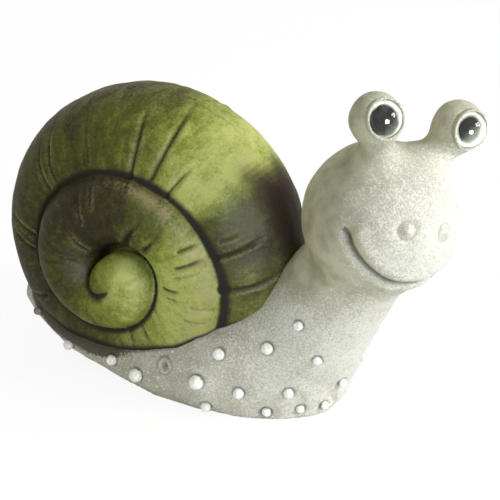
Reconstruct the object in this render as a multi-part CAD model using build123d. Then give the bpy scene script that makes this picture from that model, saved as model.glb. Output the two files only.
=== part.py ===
from build123d import *
import math
import os

# Snail garden figurine, cast in two hollow pieces, with glass eyes and bedded pellets.
# +X points where the foot points, +Z is up, and the foot rests on Z = 0.

# Driving sizes, in millimetres
foot_length = 217.0
tail_lift = 14.0
head_radius = 43.5
head_z = 126.0
stalk_radius = 9.5

# Foot, shell and neck belong to one animal, so they keep their shares of the foot's length
foot_half_width = 0.2535 * foot_length
foot_height = 0.3134 * foot_length
tail_x = -0.7143 * foot_length

coil_x = -0.3074 * foot_length
coil_z = 0.3318 * foot_length
coil_lift = 0.0221 * foot_length
coil_radius = 0.2498 * foot_length
coil_stretch = 1.11
tube_radius = 0.1917 * foot_length
spire_reach = 0.2373 * foot_length

neck_radius = 0.1751 * foot_length
head_x = 0.3871 * foot_length

# The eyes' bulbs keep their shares of the head's radius
bulb_lean = 0.2184 * head_radius
bulb_spread = 0.6667 * head_radius
bulb_rise = 1.3563 * head_radius

# Casting and assembly sizes
cast_wall = 7.0
glue_gap = 0.3
overrun = 20.0
shell_seat_z = 10.0
shell_core_radius = 0.1751 * foot_length
drain_radius = 7.0

# Eye sizes
eye_radius = 10.0
eye_dome_height = 9.0
eye_seat = 8.6
backing_thickness = 0.6
pupil_thickness = 0.4
pupil_radius = 6.2
eye_clearance = 0.15
lid_wall = 1.2
lid_height = 2.8
lid_fillet = 0.7
bulb_margin = 5.0
bulb_radius = eye_radius + bulb_margin

# Face sizes
mouth_groove_radius = 2.4
nostril_radius = 3.6
nostril_proud = 1.4

# Pellet sizes
pellet_radius = 3.6
pellet_gap = 0.1
pellet_proud_share = 0.35

# Directions of the head, in degrees
head_yaw = -28.0
head_roll = 16.0
mouth_axis_pitch = 30.0
mouth_spread = 66.8
mouth_half_turn = 74.0
nostril_turn = 17.8
nostril_pitch = 10.0
# Where each eye looks: turn from straight ahead and pitch
eye_aims = {-1: (-8.0, 17.0), 1: (0.0, 7.0)}

# Foot sections from tail to chest: place along, half width, underside lift, top height,
# flat part of the underside, and height of the widest place, as shares
foot_shares = (
    (0.000, 0.25, 1.64, 0.52, 0.50, 0.40),
    (0.028, 0.43, 1.32, 0.58, 0.38, 0.42),
    (0.090, 0.60, 0.86, 0.64, 0.34, 0.42),
    (0.190, 0.77, 0.30, 0.66, 0.42, 0.40),
    (0.310, 0.89, 0.04, 0.64, 0.60, 0.34),
    (0.429, 0.95, 0.00, 0.68, 0.80, 0.29),
    (0.548, 1.02, 0.00, 0.78, 0.86, 0.28),
    (0.677, 1.03, 0.00, 0.92, 0.86, 0.28),
    (0.806, 0.87, 0.00, 0.99, 0.86, 0.28),
    (0.871, 0.70, 0.00, 0.93, 0.86, 0.28),
    (0.926, 0.53, 0.00, 0.79, 0.86, 0.28),
    (0.968, 0.38, 0.04, 0.59, 0.86, 0.28),
    (0.991, 0.23, 0.22, 0.41, 0.86, 0.28),
    (1.000, 0.07, 0.50, 0.26, 0.86, 0.28),
)
foot_shoulder_share = 0.80
foot_shoulder_height_share = 0.72

# Coil sections: turns from the apex, then coil radius, tube radius, side reach and lift, as shares
coil_shares = (
    (0.00, 0.00, 0.20, 0.97, -2.80),
    (0.25, 0.11, 0.27, 0.94, -1.80),
    (0.50, 0.22, 0.34, 0.89, 0.00),
    (1.00, 0.51, 0.48, 0.82, 0.50),
    (1.50, 0.81, 0.61, 0.53, 0.85),
    (2.00, 0.90, 0.88, 0.19, 1.00),
    (2.17, 0.99, 0.96, 0.06, 1.00),
    (2.34, 1.05, 1.00, 0.00, 1.00),
    (2.50, 0.96, 1.00, 0.00, 1.00),
    (2.70, 0.98, 1.00, 0.00, 1.00),
)
tube_starts_turn = 0.50
tube_ends_turn = 2.70
nub_turns = (0.00, 0.12, 0.25, 0.38, 0.50)
hollow_starts_turn = 1.75
hollow_ends_turn = 2.60
nub_swell_share = 1.03
# Slot that clears the shell's open seat: length, width and depth as shares of the tube's radius
seat_slot_shares = (0.87, 0.43, 0.13)
segments_per_turn = 3
sections_per_turn = 12

# Neck sections: X and Z places as shares of the head's place, lean in degrees, and radius share
neck_shares = (
    (0.17, 0.00, 0.0, 1.05),
    (0.27, 0.17, 15.0, 1.05),
    (0.45, 0.33, 28.0, 0.97),
    (0.62, 0.51, 34.0, 0.87),
    (0.80, 0.70, 32.0, 0.80),
    (0.92, 0.86, 28.0, 0.78),
)
# Hollow of the chest and neck, on the same pattern
hollow_shares = (
    (0.45, 0.14, 0.0, 0.40),
    (0.58, 0.28, 24.0, 0.42),
    (0.69, 0.50, 34.0, 0.45),
    (0.81, 0.70, 32.0, 0.52),
    (0.95, 0.90, 28.0, 0.55),
)

# Stalk profile from its root to the bulb: length share and radius share
stalk_shares = (
    (0.36, 1.90),
    (0.48, 1.72),
    (0.60, 1.32),
    (0.70, 1.08),
    (0.80, 1.00),
    (0.88, 1.12),
)

# Pellets on each flank: place along the foot, height and size, as shares
flank_shares = (
    (0.111, 0.37, 0.75),
    (0.254, 0.23, 0.85),
    (0.417, 0.26, 0.90),
    (0.508, 0.22, 1.14),
    (0.705, 0.34, 1.20),
    (0.721, 0.08, 0.90),
    (0.752, 0.60, 1.00),
    (0.812, 0.27, 0.90),
    (0.870, 0.68, 1.00),
    (0.868, 0.06, 0.80),
    (0.928, 0.28, 0.85),
    (0.955, 0.95, 0.80),
)
# Dimple on the right flank that has lost its pellet, on the same pattern
bare_dimple_shares = (0.596, 0.38, 0.90)
# Pellets round the chest: turn from straight ahead in degrees, height and size shares
chest_shares = (
    (-41.0, 0.08, 0.75),
    (-35.0, 0.63, 0.75),
    (-21.0, 0.08, 0.70),
    (-10.0, 0.29, 0.75),
    (9.0, 0.44, 0.65),
    (24.0, 0.10, 0.75),
    (34.0, 0.62, 0.75),
)
chest_axis_x = 0.0922 * foot_length


def blend_table(table, turn):
    """Smooth value of each column of a coil table at a turn."""
    last = len(table) - 1
    i = max(k for k in range(last) if table[k][0] <= turn or k == 0)

    def slope(k, column):
        low, high = max(k - 1, 0), min(k + 1, last)
        return (table[high][column] - table[low][column]) / (table[high][0] - table[low][0])

    span = table[i + 1][0] - table[i][0]
    t = (turn - table[i][0]) / span
    values = []
    for column in range(1, len(table[0])):
        start, end = table[i][column], table[i + 1][column]
        values.append(
            (2 * t**3 - 3 * t**2 + 1) * start
            + (t**3 - 2 * t**2 + t) * span * slope(i, column)
            + (3 * t**2 - 2 * t**3) * end
            + (t**3 - t**2) * span * slope(i + 1, column)
        )
    return values


# Shell
def coil_station(turn, side):
    """Centre, outward direction and tube radius of the coil at a turn."""
    reach_share, tube_share, side_share, lift_share = blend_table(coil_shares, turn)
    reach = reach_share * coil_radius
    angle = math.pi - 2 * math.pi * turn
    along, up = coil_stretch * math.cos(angle), math.sin(angle)
    height = coil_z + lift_share * coil_lift + reach * up
    centre = Vector(coil_x + reach * along, side * side_share * spire_reach, height)
    return centre, Vector(along, 0, up).normalized(), tube_share * tube_radius


def coil_section(turn, side, grow):
    centre, outward, radius = coil_station(turn, side)
    across = outward.cross(Vector(0, 1, 0))
    return Plane(origin=centre, x_dir=outward, z_dir=across) * Circle(radius + grow)


def coil_tube(first_turn, last_turn, grow):
    """Right-hand tube of the coil from turn to turn, as one smooth form."""
    count = math.ceil((last_turn - first_turn) * sections_per_turn)
    turns = [first_turn + (last_turn - first_turn) * k / count for k in range(count + 1)]
    return loft([coil_section(turn, -1, grow) for turn in turns])


def both_sides(pieces, grow, floor_z):
    """The pieces cut at the middle plane and the seat, mirrored, and joined round a core."""
    reach = 2 * (coil_radius + tube_radius)
    right_side = Pos(coil_x, -reach / 2, floor_z + reach) * Box(2 * reach, reach, 2 * reach)
    right = (pieces[0] + pieces[1:]) & right_side
    core = Pos(coil_x, 0, coil_z + coil_lift) * Sphere(shell_core_radius + grow)
    return right + mirror(right, about=Plane.XZ) + core


def shell_outside(grow, floor_z):
    """The coil's outer form on both sides, from the apex nub to the mouth."""
    count = math.ceil((tube_ends_turn - tube_starts_turn) * segments_per_turn)
    step = (tube_ends_turn - tube_starts_turn) / count
    starts = [tube_starts_turn + step * k for k in range(count)]
    pieces = [coil_tube(start, start + step, grow) for start in starts]
    for turn in nub_turns:
        centre, _, radius = coil_station(turn, -1)
        pieces.append(Pos(centre) * Sphere(nub_swell_share * radius + grow))
    return both_sides(pieces, grow, floor_z)


def shell_hollow():
    """Inside of the outer whorl, one wall within it, open at the seat."""
    whorl = coil_tube(hollow_starts_turn, hollow_ends_turn, -cast_wall)
    long, wide, deep = (share * tube_radius for share in seat_slot_shares)
    slot = Pos(coil_x - long / 2, 0, shell_seat_z) * Box(long, wide, 2 * deep)
    return both_sides([whorl], -cast_wall, shell_seat_z - cast_wall) + slot


def shell_casting():
    """Hollow shell of one wall, open at its flat seat."""
    return shell_outside(0, shell_seat_z) - shell_hollow()


# Head directions
yaw, roll = math.radians(head_yaw), math.radians(head_roll)
head_centre = Vector(head_x, 0, head_z)
face = Vector(math.cos(yaw), math.sin(yaw), 0)
level_left = Vector(-math.sin(yaw), math.cos(yaw), 0)
crown = Vector(0, 0, 1) * math.cos(roll) + level_left * math.sin(roll)
cheek = level_left * math.cos(roll) - Vector(0, 0, 1) * math.sin(roll)


def on_head(forward, sideways, upward):
    return head_centre + face * forward + cheek * sideways + crown * upward


def bulb_centre(side):
    return on_head(bulb_lean, side * bulb_spread, bulb_rise)


def gaze(side):
    """Direction in which an eye looks."""
    turn, pitch = (math.radians(angle) for angle in eye_aims[side])
    return (face * math.cos(turn) + cheek * math.sin(turn)) * math.cos(pitch) + crown * math.sin(pitch)


# Body
def foot():
    sections = []
    for along, wide, lift, tall, flat, widest_at in foot_shares:
        half = wide * foot_half_width
        base = half * flat
        under = lift * tail_lift
        high = tall * foot_height - under
        widest = under + widest_at * high
        shoulder = under + foot_shoulder_height_share * high
        inner = half * foot_shoulder_share
        sheet = Plane(origin=(tail_x + along * foot_length, 0, 0), x_dir=(0, 1, 0), z_dir=(1, 0, 0))
        side = [(base, under), (half, widest), (inner, shoulder), (0, under + high)]
        other = [(-inner, shoulder), (-half, widest), (-base, under)]
        outline = Wire([Edge.make_line((-base, under, 0), (base, under, 0)), Spline(*side, *other).edge()])
        sections.append(sheet * Face(outline))
    return loft(sections)


def neck(shares):
    sections = []
    for ahead, up, lean, wide in shares:
        tilt = math.radians(lean)
        way = Vector(math.sin(tilt), 0, math.cos(tilt))
        place = Plane(origin=(ahead * head_x, 0, up * head_z), x_dir=(0, 1, 0), z_dir=way)
        sections.append(place * Circle(wide * neck_radius))
    return loft(sections)


def head_ball(radius):
    return Plane(origin=head_centre, x_dir=face * -1, z_dir=crown) * Sphere(radius)


def stalk(side):
    """Waisted round stalk from inside the head to the middle of its bulb."""
    tip = bulb_centre(side)
    length = (tip - head_centre).length
    along = Plane(origin=head_centre, x_dir=face, z_dir=(tip - head_centre).normalized())
    curve = [(wide * stalk_radius, far * length) for far, wide in stalk_shares]
    low, high = curve[0][1], length
    sides = Polyline((curve[-1][0], curve[-1][1]), (curve[-1][0], high), (0, high), (0, low), curve[0])
    profile = Plane.XZ * make_face([*Spline(*curve).edges(), *sides.edges()])
    return along * revolve(profile, Axis.Z)


def eye_plane(side):
    """Plane on the floor of the eye's pocket, facing where the eye looks."""
    return Plane(origin=bulb_centre(side) + gaze(side) * eye_seat, z_dir=gaze(side))


def eye_bulb(side):
    """Round bulb at the stalk's tip, with the collar that stands proud around the eye."""
    outer = eye_radius + eye_clearance + lid_wall
    shoulder = math.sqrt(bulb_radius**2 - outer**2)
    top = eye_seat + lid_height
    corner, leg = outer - lid_fillet, top - lid_fillet
    ball = CenterArc((0, 0), bulb_radius, -90, 90 + math.degrees(math.atan2(shoulder, outer)))
    wall = Line((outer, shoulder), (outer, leg))
    lip = CenterArc((corner, leg), lid_fillet, 0, 90)
    cap = Polyline((corner, top), (0, top), (0, -bulb_radius))
    profile = Plane.XZ * make_face([*ball.edges(), *wall.edges(), *lip.edges(), *cap.edges()])
    return Plane(origin=bulb_centre(side), z_dir=gaze(side)) * revolve(profile, Axis.Z)


def nostril(side):
    turn, pitch = math.radians(side * nostril_turn), math.radians(nostril_pitch)
    way = (face * math.cos(turn) + cheek * math.sin(turn)) * math.cos(pitch) + crown * math.sin(pitch)
    reach = head_radius + nostril_proud - nostril_radius
    return Plane(origin=head_centre + way * reach, z_dir=way) * Sphere(nostril_radius)


def body_outside():
    """The body's outer form, without cuts, kept above the ground."""
    ground = Pos(head_x, 0, head_z) * Box(2 * foot_length + head_x, foot_length, 2 * head_z)
    whole = foot() + neck(neck_shares) + head_ball(head_radius)
    for side in (-1, 1):
        for piece in (stalk(side), eye_bulb(side), nostril(side)):
            whole = whole + piece
    return whole & ground


def mouth():
    """Groove along a wide arc on the head's round."""
    pitch, spread = math.radians(mouth_axis_pitch), math.radians(mouth_spread)
    axis = face * math.cos(pitch) + crown * math.sin(pitch)
    lowest = face * math.sin(pitch) - crown * math.cos(pitch)
    ring = Plane(origin=head_centre + axis * head_radius * math.cos(spread), x_dir=lowest, z_dir=axis)
    reach = head_radius * math.sin(spread)
    arc = CenterArc((0, 0), reach, -mouth_half_turn, 2 * mouth_half_turn)
    line = ring * arc
    tool = sweep(Plane(origin=line @ 0, z_dir=line % 0) * Circle(mouth_groove_radius), line)
    for end in (line @ 0, line @ 1):
        tool = tool + Pos(end) * Sphere(mouth_groove_radius)
    return tool


# Pellets
def surface_point(skin, start, direction):
    """Where a line from inside the body leaves its outer form for the last time."""
    hits = skin.find_intersection_points(Axis(start, direction))
    ahead = [point for point, _ in hits if (point - start).dot(direction) > 0]
    return max(ahead, key=lambda point: (point - start).dot(direction))


def flank_place(skin, side, shares):
    along, up, size = shares
    start = Vector(tail_x + along * foot_length, 0, up * foot_height)
    out = Vector(0, side, 0)
    return surface_point(skin, start, out), out, size


def chest_place(skin, shares):
    turn, up, size = shares
    out = Vector(math.cos(math.radians(turn)), math.sin(math.radians(turn)), 0)
    start = Vector(chest_axis_x, 0, up * foot_height)
    return surface_point(skin, start, out), out, size


def pellets(places, grow):
    balls = []
    for point, direction, size in places:
        radius = size * pellet_radius
        centre = point + direction * radius * pellet_proud_share
        balls.append(Plane(origin=centre, z_dir=direction) * Sphere(radius + grow))
    return balls


def body_casting(skin, dimples):
    """The body with its saddle, hollow, drain, eye pockets, mouth and pellet dimples cut."""
    drain_x, top = hollow_shares[0][0] * head_x, hollow_shares[1][1] * head_z
    drain = Cylinder(drain_radius, top + overrun, align=(Align.CENTER, Align.CENTER, Align.MIN))
    pocket = Cylinder(eye_radius + eye_clearance, overrun, align=(Align.CENTER, Align.CENTER, Align.MIN))
    solid = skin - shell_outside(glue_gap, shell_seat_z - glue_gap)
    solid = solid - neck(hollow_shares) - head_ball(head_radius - cast_wall)
    cuts = [Pos(drain_x, 0, -overrun) * drain, mouth()]
    cuts += [eye_plane(side) * pocket for side in (-1, 1)]
    return solid - cuts - pellets(dimples, pellet_gap)


# Eyes
def eye_backing(side):
    return eye_plane(side) * extrude(Circle(eye_radius), backing_thickness)


def eye_pupil(side):
    return eye_plane(side) * Pos(0, 0, backing_thickness) * extrude(Circle(pupil_radius), pupil_thickness)


def eye_dome(side):
    """Glass dome with a shallow recess in its flat back, where the pupil sits."""
    ball = (eye_radius**2 + eye_dome_height**2) / (2 * eye_dome_height)
    cap = Pos(0, 0, eye_dome_height - ball) * Sphere(ball)
    flat = Cylinder(2 * ball, eye_dome_height, align=(Align.CENTER, Align.CENTER, Align.MIN))
    recess = extrude(Circle(pupil_radius + eye_clearance), pupil_thickness)
    return eye_plane(side) * Pos(0, 0, backing_thickness) * ((cap & flat) - recess)


def all_nodes():
    skin = body_outside()
    right = [flank_place(skin, -1, shares) for shares in flank_shares]
    left = [flank_place(skin, 1, shares) for shares in flank_shares]
    chest = [chest_place(skin, shares) for shares in chest_shares]
    bare = flank_place(skin, -1, bare_dimple_shares)
    nodes = {
        "body_casting": body_casting(skin, [*right, *left, *chest, bare]),
        "shell_casting": shell_casting(),
        "right_flank_pellets": Compound(children=pellets(right, 0)),
        "left_flank_pellets": Compound(children=pellets(left, 0)),
        "chest_pellets": Compound(children=pellets(chest, 0)),
    }
    for side, name in ((-1, "right"), (1, "left")):
        nodes[name + "_eye_backing"] = eye_backing(side)
        nodes[name + "_eye_pupil"] = eye_pupil(side)
        nodes[name + "_eye_dome"] = eye_dome(side)
    return nodes


def main():
    os.makedirs("parts", exist_ok=True)
    for name, shape in all_nodes().items():
        export_step(shape, os.path.join("parts", name + ".step"))
        print(name, round(shape.volume), len(shape.solids()))


if __name__ == "__main__":
    main()
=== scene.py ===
import math

import bpy
import numpy as np
import openvdb
from mathutils import Matrix, Vector, noise


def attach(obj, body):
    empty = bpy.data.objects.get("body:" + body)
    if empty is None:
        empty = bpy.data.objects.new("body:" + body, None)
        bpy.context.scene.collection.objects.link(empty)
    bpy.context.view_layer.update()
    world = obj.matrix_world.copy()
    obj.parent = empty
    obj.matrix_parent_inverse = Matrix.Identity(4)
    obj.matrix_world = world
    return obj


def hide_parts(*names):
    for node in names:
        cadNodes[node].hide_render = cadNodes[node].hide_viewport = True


# Looks of the cast garden snail: a green coil, a dry-brushed body, glass eyes and bedded pellets.
# The forms below are worked out in millimetres, and every mesh is written in metres.

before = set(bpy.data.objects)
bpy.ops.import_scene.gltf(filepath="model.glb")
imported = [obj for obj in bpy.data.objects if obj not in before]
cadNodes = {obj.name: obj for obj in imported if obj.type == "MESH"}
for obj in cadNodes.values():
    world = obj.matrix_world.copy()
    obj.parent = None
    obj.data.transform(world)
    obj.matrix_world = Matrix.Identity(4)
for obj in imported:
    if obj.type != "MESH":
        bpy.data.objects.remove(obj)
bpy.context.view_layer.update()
mm = 0.001

print("stage: frame loaded")


def newPiece(name, data):
    piece = bpy.data.objects.new(name, data)
    bpy.context.scene.collection.objects.link(piece)
    return piece


def newMesh(name, points, faces, material=None):
    mesh = bpy.data.meshes.new(name)
    mesh.from_pydata((np.asarray(points, float) * mm).tolist(), [], [tuple(map(int, face)) for face in faces])
    mesh.update()
    if material:
        mesh.materials.append(material)
    mesh.shade_smooth()
    return newPiece(name, mesh)


def pointsOf(mesh):
    flat = np.zeros(len(mesh.vertices) * 3)
    mesh.vertices.foreach_get("co", flat)
    return flat.reshape(-1, 3) / mm


def normalsOf(mesh):
    flat = np.zeros(len(mesh.vertices) * 3)
    mesh.vertices.foreach_get("normal", flat)
    return flat.reshape(-1, 3)


def movePoints(mesh, points):
    mesh.vertices.foreach_set("co", (points * mm).ravel())
    mesh.update()


def paintMask(mesh, name, values):
    layer = mesh.attributes.new(name, "FLOAT", "POINT")
    layer.data.foreach_set("value", np.clip(values, 0, 1).astype(np.float32))


def smoothstep(low, high, value):
    t = np.clip((value - low) / (high - low), 0, 1)
    return t * t * (3 - 2 * t)


def bell(value, width):
    return np.exp(-((value / width) ** 2))


def lengths(ways):
    return np.linalg.norm(ways, axis=-1)


def smoothUnion(a, b, radius):
    h = np.clip(0.5 + 0.5 * (b - a) / radius, 0, 1)
    return b * (1 - h) + a * h - radius * h * (1 - h)


def unevenness(points, waves):
    # Slow swelling left by the sculptor's hand: size, height and seed of each wave
    total = 0
    for size, height, seed in waves:
        shift = Vector((seed * 7.3, seed * 3.1, seed * 5.7))
        total = total + height * np.array([noise.noise(Vector(point) / size + shift) for point in points])
    return total


def averaged(mesh, values, rounds):
    # Each point takes the mean of its neighbours, round after round
    edges = np.zeros(len(mesh.edges) * 2, np.int64)
    mesh.edges.foreach_get("vertices", edges)
    a, b = edges[::2], edges[1::2]
    count = np.bincount(a, minlength=len(values)) + np.bincount(b, minlength=len(values))
    count = np.maximum(count, 1)
    columns = values.reshape(len(values), -1).copy()
    for _ in range(rounds):
        sums = [np.bincount(a, c[b], len(values)) + np.bincount(b, c[a], len(values)) for c in columns.T]
        total = np.stack(sums, 1)
        columns = 0.5 * columns + 0.5 * total / count[:, None]
    return columns.reshape(values.shape)


def hollowness(mesh, rounds):
    # Positive in hollows and negative on ridges, in millimetres
    points, normals = pointsOf(mesh), normalsOf(mesh)
    return ((averaged(mesh, points, rounds) - points) * normals).sum(1)


# Coil of the shell
coil = {
    "footLength": 217.0,
    "x": -0.3074,
    "z": 0.3318,
    "lift": 0.0221,
    "radius": 0.2498,
    "stretch": 1.11,
    "tube": 0.1917,
    "spire": 0.2373,
    "core": 0.1751,
    "seat": 10.0,
    "lastTurn": 2.7,
    "tubeFrom": 0.42,
    "turnsRows": 300,
    "ringPoints": 72,
    "nubBalls": 15,
    "nubSwell": 1.03,
    "nubTurns": 0.5,
    "closingRate": 300.0,
    "merge": 0.01,
    "voxel": 1.22,
    "seatBand": 1.5,
    "waves": ((17.0, 0.55, 3), (6.0, 0.16, 5)),
}
for size in ("x", "z", "lift", "radius", "tube", "spire", "core"):
    coil[size] *= coil["footLength"]

# Turns from the apex, then coil radius, tube radius, side reach and lift, as shares
coilShares = np.array((
    (0.00, 0.00, 0.20, 0.97, -2.80),
    (0.25, 0.11, 0.27, 0.94, -1.80),
    (0.50, 0.22, 0.34, 0.89, 0.00),
    (1.00, 0.51, 0.48, 0.82, 0.50),
    (1.50, 0.81, 0.61, 0.53, 0.85),
    (2.00, 0.90, 0.88, 0.19, 1.00),
    (2.17, 0.99, 0.96, 0.06, 1.00),
    (2.34, 1.05, 1.00, 0.00, 1.00),
    (2.50, 0.96, 1.00, 0.00, 1.00),
    (2.70, 0.98, 1.00, 0.00, 1.00),
))
liftFloor = -3.0
whorlApart = 0.45
farOff = 99.0


def coilShare(turn, column):
    turn = np.asarray(turn, float)
    places, values = coilShares[:, 0], coilShares[:, column]
    last = len(places) - 1
    low, high = np.maximum(np.arange(last + 1) - 1, 0), np.minimum(np.arange(last + 1) + 1, last)
    slope = (values[high] - values[low]) / (places[high] - places[low])
    i = np.clip(np.searchsorted(places, turn, side="right") - 1, 0, last - 1)
    span = places[i + 1] - places[i]
    t = (turn - places[i]) / span
    return (
        (2 * t**3 - 3 * t**2 + 1) * values[i]
        + (t**3 - 2 * t**2 + t) * span * slope[i]
        + (3 * t**2 - 2 * t**3) * values[i + 1]
        + (t**3 - t**2) * span * slope[i + 1]
    )


def coilStation(turn):
    # Centre, outward direction and tube radius on the right-hand side
    angle = math.pi - 2 * math.pi * np.asarray(turn, float)
    along, up = coil["stretch"] * np.cos(angle), np.sin(angle)
    reach = coilShare(turn, 1) * coil["radius"]
    height = coil["z"] + coilShare(turn, 4) * coil["lift"] + reach * up
    centre = np.stack([coil["x"] + reach * along, -coilShare(turn, 3) * coil["spire"], height], -1)
    outward = np.stack([along, 0 * along, up], -1)
    outward /= np.linalg.norm(outward, axis=-1, keepdims=True)
    return centre, outward, coilShare(turn, 2) * coil["tube"]


coilTurns = np.linspace(0, coil["lastTurn"], 541)
coilCentres, coilOutward, coilTubes = coilStation(coilTurns)


def coilPlace(points):
    # Distance to the skin, turn, ring angle, and distances to the skins of the inner and outer whorls
    folded = points.copy()
    folded[:, 1] = -np.abs(folded[:, 1])
    out = []
    for block in np.array_split(folded, max(1, len(folded) // 4000)):
        gap = lengths(block[:, None] - coilCentres[None]) - coilTubes[None]
        nearest = gap.argmin(1)
        offset = block - coilCentres[nearest]
        ring = np.degrees(np.arctan2(-offset[:, 1], (offset * coilOutward[nearest]).sum(1)))
        ahead = coilTurns[None] - coilTurns[nearest][:, None]
        inner = np.where(ahead < -whorlApart, gap, farOff).min(1)
        outer = np.where(ahead > whorlApart, gap, farOff).min(1)
        out.append(np.stack([gap.min(1), coilTurns[nearest], ring, inner, outer], 1))
    return np.concatenate(out).T


class NodeTree:
    # Small helper that places nodes in a tree and links them

    def __init__(self, tree):
        self.tree = tree
        self.count = 0

    def add(self, kind, inputs=None, **settings):
        node = self.tree.nodes.new(kind)
        node.location = (180 * (self.count % 12), -220 * (self.count // 12))
        self.count += 1
        for name, value in settings.items():
            setattr(node, name, value)
        for key, value in (inputs or {}).items():
            self.feed(node.inputs[key], value)
        return node

    def feed(self, socket, value):
        if isinstance(value, bpy.types.Node):
            value = next(out for out in value.outputs if out.enabled)
        if isinstance(value, bpy.types.NodeSocket):
            self.tree.links.new(value, socket)
        else:
            socket.default_value = value

    def math(self, operation, a, b=None, clamp=False):
        inputs = {0: a} if b is None else {0: a, 1: b}
        return self.add("ShaderNodeMath", inputs, operation=operation, use_clamp=clamp).outputs[0]

    def times(self, a, b, clamp=False):
        return self.math("MULTIPLY", a, b, clamp)

    def plus(self, a, b, clamp=False):
        return self.math("ADD", a, b, clamp)

    def minus(self, a, b, clamp=False):
        return self.math("SUBTRACT", a, b, clamp)

    def larger(self, a, b):
        return self.math("MAXIMUM", a, b)

    def swing(self, value, amount):
        # A noise counted from its middle, times an amount
        return self.times(self.minus(value, 0.5), amount)

    def vector(self, operation, a, b=None):
        inputs = {0: a} if b is None else {0: a, "Scale" if operation == "SCALE" else 1: b}
        outputs = self.add("ShaderNodeVectorMath", inputs, operation=operation).outputs
        return outputs["Value" if operation in ("DOT_PRODUCT", "LENGTH") else 0]

    def point(self, x, y, z):
        return self.add("ShaderNodeCombineXYZ", {0: x, 1: y, 2: z}).outputs[0]

    def parts(self, vector):
        return self.add("ShaderNodeSeparateXYZ", {0: vector}).outputs

    def cloud(self, place, scale, detail, roughness=0.5, distortion=0.0):
        return self.add("ShaderNodeTexNoise", {
            "Vector": place, "Scale": scale, "Detail": detail, "Roughness": roughness, "Distortion": distortion,
        }).outputs[0]

    def band(self, value, low, high, outLow=0.0, outHigh=1.0):
        return self.add("ShaderNodeMapRange", {
            "Value": value, "From Min": low, "From Max": high, "To Min": outLow, "To Max": outHigh,
        }, interpolation_type="SMOOTHSTEP").outputs[0]

    def mix(self, amount, first, second):
        first, second = ((*colour, 1.0) if isinstance(colour, tuple) else colour for colour in (first, second))
        return self.add("ShaderNodeMix", {0: amount, 6: first, 7: second}, data_type="RGBA").outputs[2]

    def mask(self, name):
        return self.add("ShaderNodeAttribute", attribute_name=name).outputs["Fac"]

    def place(self):
        # Object coordinates in millimetres
        return self.vector("SCALE", self.add("ShaderNodeTexCoord").outputs["Object"], 1 / mm)

    def group(self, tree, inputs):
        return self.add("ShaderNodeGroup", inputs, node_tree=tree).outputs

    def join(self, *parts):
        joined = self.add("GeometryNodeJoinGeometry")
        for part in parts:
            self.feed(joined.inputs[0], part)
        return joined

    def close(self, results):
        self.add("NodeGroupOutput", results)


def newTree(name, kind, inputs, outputs):
    # Empty tree with named inputs: label, kind and value
    tree = bpy.data.node_groups.new(name, kind + "NodeTree")
    for label, sort, value in inputs:
        socket = tree.interface.new_socket(label, in_out="INPUT", socket_type="NodeSocket" + sort)
        if value is not None:
            socket.default_value = value
    for label, sort in outputs:
        tree.interface.new_socket(label, in_out="OUTPUT", socket_type="NodeSocket" + sort)
    nodes = NodeTree(tree)
    return tree, nodes, nodes.add("NodeGroupInput").outputs


def shareCurve(nodes, turnShare, column, low, high):
    # A column of the coil's table as a curve over the turns
    curve = nodes.add("ShaderNodeFloatCurve", {"Value": turnShare})
    line = curve.mapping.curves[0]
    places = np.linspace(0, 1, 28)
    heights = (coilShare(places * coil["lastTurn"], column) - low) / (high - low)
    while len(line.points) < len(places):
        line.points.new(0.5, 0.5)
    for point, place, height in zip(line.points, places, heights):
        point.location = (place, height)
        point.handle_type = "AUTO"
    curve.mapping.update()
    return nodes.plus(nodes.times(curve.outputs[0], high - low), low)


coilInputs = {
    "Coil X": coil["x"], "Coil Z": coil["z"], "Lift": coil["lift"], "Coil radius": coil["radius"],
    "Stretch": coil["stretch"], "Tube radius": coil["tube"], "Spire reach": coil["spire"],
    "Core radius": coil["core"], "Seat Z": coil["seat"], "Nub swell": coil["nubSwell"],
    "Tube from": coil["tubeFrom"], "Last turn": coil["lastTurn"],
}


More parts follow.
